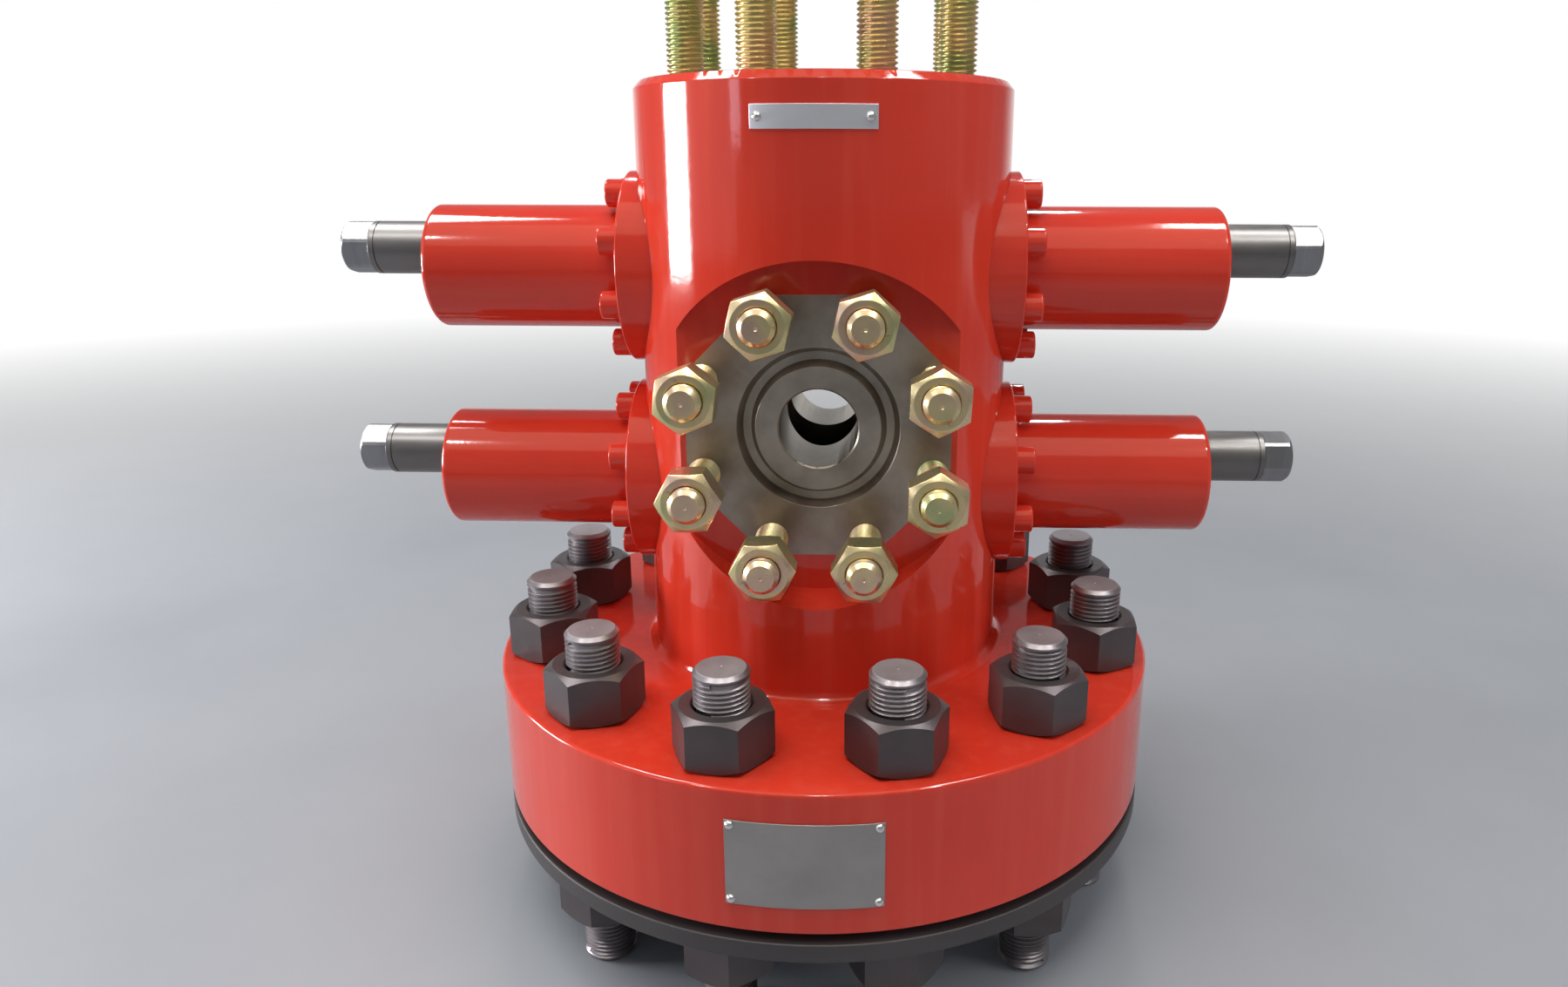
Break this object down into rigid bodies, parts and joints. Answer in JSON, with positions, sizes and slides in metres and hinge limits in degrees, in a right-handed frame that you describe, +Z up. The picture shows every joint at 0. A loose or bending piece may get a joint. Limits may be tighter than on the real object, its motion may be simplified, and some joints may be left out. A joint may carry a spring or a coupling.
{
  "type": "wellhead valve stack",
  "caption": "Red forged ram body for a wellhead: thick studded base flange, vertical bore, studded side outlets, and bonnets whose screws drive sealing rams across the bore.",
  "frame": {"origin": "on the main bore's axis, at the level of the floor that the lower stud ends stand on", "axes": "+Z up along the main bore, +X out along the right-hand bonnets, -Y is the front, which has a side outlet and both plates"},
  "size_m": [0.6886, 0.4836, 0.686],
  "materials": {
    "red_paint": "gloss red paint on forged steel",
    "black_oxide": "black oxide, rubbed bright on the edges",
    "yellow_zinc": "yellow zinc plating",
    "plain_steel": "turned steel, oiled",
    "seal_rubber": "matt black",
    "plate_metal": "thin stainless sheet"
  },
  "bodies": {
    "housing": {"body": "red_paint", "ring_gasket": "plain_steel", "base_plate": "black_oxide", "flange_studs": "black_oxide", "flange_upper_nuts": "black_oxide", "flange_lower_nuts": "black_oxide", "front_outlet_studs": "yellow_zinc", "front_outlet_nuts": "yellow_zinc", "back_outlet_studs": "yellow_zinc", "back_outlet_nuts": "yellow_zinc", "top_studs": "yellow_zinc", "top_nuts": "yellow_zinc", "upper_left_bonnet": "red_paint", "upper_left_bonnet_screws": "red_paint", "upper_right_bonnet": "red_paint", "upper_right_bonnet_screws": "red_paint", "lower_left_bonnet": "red_paint", "lower_left_bonnet_screws": "red_paint", "lower_right_bonnet": "red_paint", "lower_right_bonnet_screws": "red_paint", "rating_tag": "plate_metal", "rating_tag_rivets": "plate_metal", "nameplate": "plate_metal", "nameplate_rivets": "plate_metal"},
    "upper_left_ram_unit": {"upper_left_ram": "plain_steel", "upper_left_ram_seal": "seal_rubber"},
    "upper_left_screw_unit": {"upper_left_ram_screw": "plain_steel"},
    "upper_right_ram_unit": {"upper_right_ram": "plain_steel", "upper_right_ram_seal": "seal_rubber"},
    "upper_right_screw_unit": {"upper_right_ram_screw": "plain_steel"},
    "lower_left_ram_unit": {"lower_left_ram": "plain_steel", "lower_left_ram_seal": "seal_rubber"},
    "lower_left_screw_unit": {"lower_left_ram_screw": "plain_steel"},
    "lower_right_ram_unit": {"lower_right_ram": "plain_steel", "lower_right_ram_seal": "seal_rubber"},
    "lower_right_screw_unit": {"lower_right_ram_screw": "plain_steel"}
  },
  "joints": [
    {"name": "upper_left_ram_slide", "type": "slide", "parent": "housing", "child": "upper_left_ram_unit", "axis": [1, 0, 0], "range_m": [0, 0.033]},
    {"name": "upper_left_screw_turn", "type": "hinge", "parent": "upper_left_ram_unit", "child": "upper_left_screw_unit", "pos_m": [-0.25, 0, 0.4709], "axis": [1, 0, 0], "range_deg": [0, 1980]},
    {"name": "upper_right_ram_slide", "type": "slide", "parent": "housing", "child": "upper_right_ram_unit", "axis": [-1, 0, 0], "range_m": [0, 0.033]},
    {"name": "upper_right_screw_turn", "type": "hinge", "parent": "upper_right_ram_unit", "child": "upper_right_screw_unit", "pos_m": [0.25, 0, 0.4709], "axis": [-1, 0, 0], "range_deg": [0, 1980]},
    {"name": "lower_left_ram_slide", "type": "slide", "parent": "housing", "child": "lower_left_ram_unit", "axis": [1, 0, 0], "range_m": [0, 0.033]},
    {"name": "lower_left_screw_turn", "type": "hinge", "parent": "lower_left_ram_unit", "child": "lower_left_screw_unit", "pos_m": [-0.25, 0, 0.3223], "axis": [1, 0, 0], "range_deg": [0, 1980]},
    {"name": "lower_right_ram_slide", "type": "slide", "parent": "housing", "child": "lower_right_ram_unit", "axis": [-1, 0, 0], "range_m": [0, 0.033]},
    {"name": "lower_right_screw_turn", "type": "hinge", "parent": "lower_right_ram_unit", "child": "lower_right_screw_unit", "pos_m": [0.25, 0, 0.3223], "axis": [-1, 0, 0], "range_deg": [0, 1980]}
  ],
  "couplings": [
    {"joint": "upper_left_screw_turn", "follows": "upper_left_ram_slide", "rad_per_m": 1047.2},
    {"joint": "upper_right_screw_turn", "follows": "upper_right_ram_slide", "rad_per_m": 1047.2},
    {"joint": "lower_left_screw_turn", "follows": "lower_left_ram_slide", "rad_per_m": 1047.2},
    {"joint": "lower_right_screw_turn", "follows": "lower_right_ram_slide", "rad_per_m": 1047.2}
  ]
}
